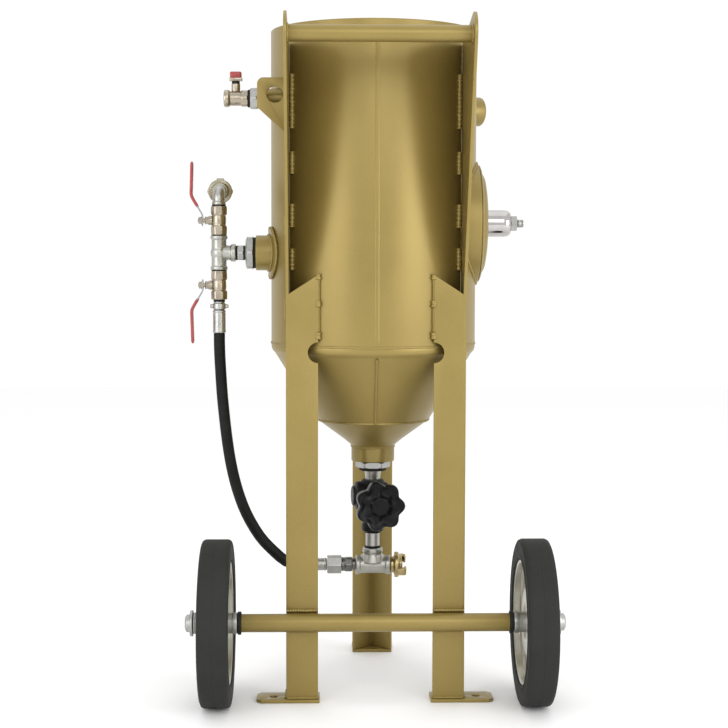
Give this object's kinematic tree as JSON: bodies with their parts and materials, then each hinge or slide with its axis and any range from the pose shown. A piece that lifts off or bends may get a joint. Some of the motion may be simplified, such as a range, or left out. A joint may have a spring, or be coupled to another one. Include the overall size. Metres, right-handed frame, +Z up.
{
  "type": "portable abrasive blast pot",
  "caption": "Wheeled upright pressure pot with a dished filling head, conical base, angle-iron legs, push handle, ball-valve air manifold, hose and metering valve.",
  "frame": {"origin": "on the ground, under the middle of the footprint", "axes": "+Z up, -Y to the front with the push handle and wheels, +X to the hand-hole side"},
  "size_m": [0.713, 0.6428, 1.274],
  "materials": {
    "gold_paint": "satin metallic gold paint over steel",
    "zinc": "zinc-plated malleable fittings",
    "nickel": "nickel-plated brass valve bodies",
    "chrome": "bright chrome",
    "brass": "bare cast brass",
    "black_iron": "black painted casting",
    "black_plastic": "moulded black knob",
    "tyre_rubber": "solid charcoal rubber",
    "black_rubber": "black moulded rubber",
    "hose_rubber": "black rubber hose cover",
    "wheel_steel": "silver painted pressed steel",
    "red_grip": "red dipped vinyl"
  },
  "bodies": {
    "pot": {"tank_shell": "gold_paint", "top_head": "gold_paint", "bottom_cone": "gold_paint", "outlet_reducer": "gold_paint", "outlet_collar": "gold_paint", "side_frame_left": "gold_paint", "side_frame_right": "gold_paint", "rear_leg": "gold_paint", "foot_left": "gold_paint", "foot_right": "gold_paint", "foot_rear": "gold_paint", "handle_tube": "gold_paint", "axle_tube": "gold_paint", "handhole_neck": "gold_paint", "handhole_door": "gold_paint", "handhole_bridge": "gold_paint", "inlet_boss": "gold_paint", "exhaust_bracket": "gold_paint", "exhaust_boss": "gold_paint", "riser_pipe": "zinc", "axle_rod": "zinc", "axle_cap_left": "zinc", "axle_cap_right": "zinc", "clamp_stud": "zinc", "clamp_nut": "zinc", "inlet_bushing": "zinc", "inlet_nipple": "zinc", "inlet_tee": "zinc", "hose_union_nut": "zinc", "hose_ferrule_top": "zinc", "hose_ferrule_bottom": "zinc", "hose_swivel_nut": "zinc", "hose_adaptor": "zinc", "exhaust_bushing": "zinc", "outlet_bushing": "zinc", "lower_nipple": "zinc", "outlet_tee": "zinc", "upper_valve_body": "nickel", "lower_valve_body": "nickel", "upper_elbow": "nickel", "exhaust_valve_body": "nickel", "clamp_sleeve": "chrome", "claw_coupling": "brass", "blast_coupling": "brass", "metering_body": "black_iron", "filler_seal": "black_rubber", "handhole_gasket": "black_rubber", "air_hose": "hose_rubber"},
    "wheel_left": {"tyre_left": "tyre_rubber", "wheel_disc_left": "wheel_steel"},
    "wheel_right": {"tyre_right": "tyre_rubber", "wheel_disc_right": "wheel_steel"},
    "upper_valve_handle": {"upper_valve_ball": "nickel", "upper_valve_lever": "red_grip"},
    "lower_valve_handle": {"lower_valve_ball": "nickel", "lower_valve_lever": "red_grip"},
    "exhaust_valve_handle": {"exhaust_handle": "red_grip"},
    "knob": {"metering_knob": "black_plastic"},
    "plunger": {"metering_spindle": "zinc"},
    "popup": {"popup_valve": "black_rubber"}
  },
  "joints": [
    {"name": "wheel_left_roll", "type": "hinge", "parent": "pot", "child": "wheel_left", "pos_m": [-0.297, -0.1469, 0.156], "axis": [1, 0, 0], "continuous": true},
    {"name": "wheel_right_roll", "type": "hinge", "parent": "pot", "child": "wheel_right", "pos_m": [0.297, -0.1469, 0.156], "axis": [1, 0, 0], "continuous": true},
    {"name": "upper_valve_turn", "type": "hinge", "parent": "pot", "child": "upper_valve_handle", "pos_m": [-0.332, 0.0165, 0.9088], "axis": [1, 0, 0], "range_deg": [0, 90]},
    {"name": "lower_valve_turn", "type": "hinge", "parent": "pot", "child": "lower_valve_handle", "pos_m": [-0.332, 0.0165, 0.7838], "axis": [1, 0, 0], "range_deg": [-90, 0]},
    {"name": "exhaust_valve_turn", "type": "hinge", "parent": "pot", "child": "exhaust_valve_handle", "pos_m": [-0.264, -0.0385, 1.138], "axis": [0, 0, 1], "range_deg": [0, 90]},
    {"name": "metering_knob_turn", "type": "hinge", "parent": "pot", "child": "knob", "pos_m": [0, 0.0465, 0.358], "axis": [0.1444, -0.9895, 0], "range_deg": [0, 540]},
    {"name": "metering_plunger_travel", "type": "slide", "parent": "pot", "child": "plunger", "axis": [0.1444, -0.9895, 0], "range_m": [0, 0.008]},
    {"name": "popup_valve_lift", "type": "slide", "parent": "pot", "child": "popup", "axis": [0, 0, 1], "range_m": [0, 0.028]}
  ],
  "couplings": [
    {"joint": "metering_plunger_travel", "follows": "metering_knob_turn", "m_per_rad": 0.00084883}
  ]
}
